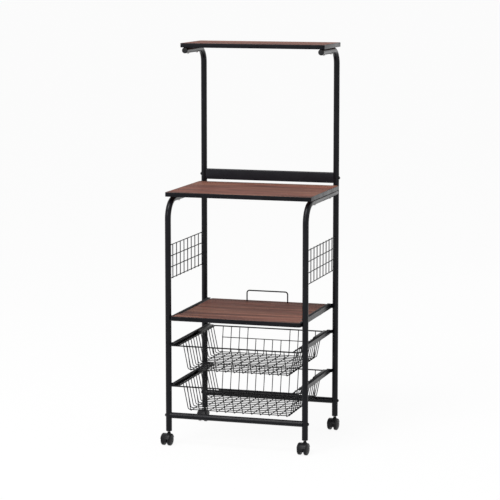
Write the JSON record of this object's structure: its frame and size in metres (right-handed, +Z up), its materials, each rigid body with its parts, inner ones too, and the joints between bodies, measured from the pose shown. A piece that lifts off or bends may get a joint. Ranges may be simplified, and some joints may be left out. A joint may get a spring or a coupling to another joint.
{
  "type": "microwave cart",
  "caption": "Tall bent-tube kitchen cart on casters with a top shelf, an appliance shelf, a pull-out tray and pull-out wire baskets.",
  "frame": {"origin": "on the floor, under the middle of the cart's outline", "axes": "+X to the right seen from the front, +Y to the back, +Z up"},
  "size_m": [0.5629, 0.4749, 1.467],
  "materials": {
    "tube": "semi-gloss black powder coat",
    "wire": "semi-gloss black powder coat",
    "rail": "semi-gloss black powder coat",
    "board": "dark reddish-brown wood-grain laminate",
    "edging": "black edge band",
    "cap": "black plastic",
    "runner": "black plastic",
    "hood": "black plastic",
    "wheel": "black plastic"
  },
  "bodies": {
    "frame": {"left_front_post": "tube", "left_rear_post": "tube", "right_front_post": "tube", "right_rear_post": "tube", "back_bar": "tube", "front_lower_bar": "tube", "rear_lower_bar": "tube", "arm_end_caps": "cap", "main_shelf": "board", "top_shelf": "board", "main_shelf_edging": "edging", "top_shelf_edging": "edging", "left_side_grid": "wire", "right_side_grid": "wire", "left_tray_rail": "rail", "left_upper_rail": "rail", "left_lower_rail": "rail", "right_tray_rail": "rail", "right_upper_rail": "rail", "right_lower_rail": "rail"},
    "tray": {"tray_board": "board", "tray_edging": "edging", "tray_backstop": "wire", "tray_runners": "runner"},
    "upper_basket": {"upper_basket_runners": "runner", "upper_basket_rim": "wire", "upper_basket_lengthwise_wires": "wire", "upper_basket_crosswise_wires": "wire", "upper_basket_back_wire": "wire"},
    "lower_basket": {"lower_basket_runners": "runner", "lower_basket_rim": "wire", "lower_basket_lengthwise_wires": "wire", "lower_basket_crosswise_wires": "wire"},
    "front_left_caster": {"front_left_caster_hood": "hood"},
    "front_left_left_wheel": {"front_left_left_wheel": "wheel"},
    "front_left_right_wheel": {"front_left_right_wheel": "wheel"},
    "front_right_caster": {"front_right_caster_hood": "hood"},
    "front_right_left_wheel": {"front_right_left_wheel": "wheel"},
    "front_right_right_wheel": {"front_right_right_wheel": "wheel"},
    "rear_left_caster": {"rear_left_caster_hood": "hood"},
    "rear_left_left_wheel": {"rear_left_left_wheel": "wheel"},
    "rear_left_right_wheel": {"rear_left_right_wheel": "wheel"},
    "rear_right_caster": {"rear_right_caster_hood": "hood"},
    "rear_right_left_wheel": {"rear_right_left_wheel": "wheel"},
    "rear_right_right_wheel": {"rear_right_right_wheel": "wheel"}
  },
  "joints": [
    {"name": "tray_slide", "type": "slide", "parent": "frame", "child": "tray", "axis": [0, -1, 0], "range_m": [0, 0.2]},
    {"name": "upper_basket_slide", "type": "slide", "parent": "frame", "child": "upper_basket", "axis": [0, -1, 0], "range_m": [0, 0.2]},
    {"name": "lower_basket_slide", "type": "slide", "parent": "frame", "child": "lower_basket", "axis": [0, -1, 0], "range_m": [0, 0.2]},
    {"name": "front_left_swivel", "type": "hinge", "parent": "frame", "child": "front_left_caster", "pos_m": [-0.26, -0.19615, 0.0515], "axis": [0, 0, 1], "continuous": true},
    {"name": "front_left_left_wheel_roll", "type": "hinge", "parent": "front_left_caster", "child": "front_left_left_wheel", "pos_m": [-0.26216, -0.2115, 0.021], "axis": [0.9903, -0.1392, 0], "continuous": true},
    {"name": "front_left_right_wheel_roll", "type": "hinge", "parent": "front_left_caster", "child": "front_left_right_wheel", "pos_m": [-0.26216, -0.2115, 0.021], "axis": [0.9903, -0.1392, 0], "continuous": true},
    {"name": "front_right_swivel", "type": "hinge", "parent": "frame", "child": "front_right_caster", "pos_m": [0.26, -0.19615, 0.0515], "axis": [0, 0, 1], "continuous": true},
    {"name": "front_right_left_wheel_roll", "type": "hinge", "parent": "front_right_caster", "child": "front_right_left_wheel", "pos_m": [0.25784, -0.2115, 0.021], "axis": [0.9903, -0.1392, 0], "continuous": true},
    {"name": "front_right_right_wheel_roll", "type": "hinge", "parent": "front_right_caster", "child": "front_right_right_wheel", "pos_m": [0.25784, -0.2115, 0.021], "axis": [0.9903, -0.1392, 0], "continuous": true},
    {"name": "rear_left_swivel", "type": "hinge", "parent": "frame", "child": "rear_left_caster", "pos_m": [-0.26, 0.22685, 0.0515], "axis": [0, 0, 1], "continuous": true},
    {"name": "rear_left_left_wheel_roll", "type": "hinge", "parent": "rear_left_caster", "child": "rear_left_left_wheel", "pos_m": [-0.26216, 0.2115, 0.021], "axis": [0.9903, -0.1392, 0], "continuous": true},
    {"name": "rear_left_right_wheel_roll", "type": "hinge", "parent": "rear_left_caster", "child": "rear_left_right_wheel", "pos_m": [-0.26216, 0.2115, 0.021], "axis": [0.9903, -0.1392, 0], "continuous": true},
    {"name": "rear_right_swivel", "type": "hinge", "parent": "frame", "child": "rear_right_caster", "pos_m": [0.26, 0.22685, 0.0515], "axis": [0, 0, 1], "continuous": true},
    {"name": "rear_right_left_wheel_roll", "type": "hinge", "parent": "rear_right_caster", "child": "rear_right_left_wheel", "pos_m": [0.25784, 0.2115, 0.021], "axis": [0.9903, -0.1392, 0], "continuous": true},
    {"name": "rear_right_right_wheel_roll", "type": "hinge", "parent": "rear_right_caster", "child": "rear_right_right_wheel", "pos_m": [0.25784, 0.2115, 0.021], "axis": [0.9903, -0.1392, 0], "continuous": true}
  ]
}
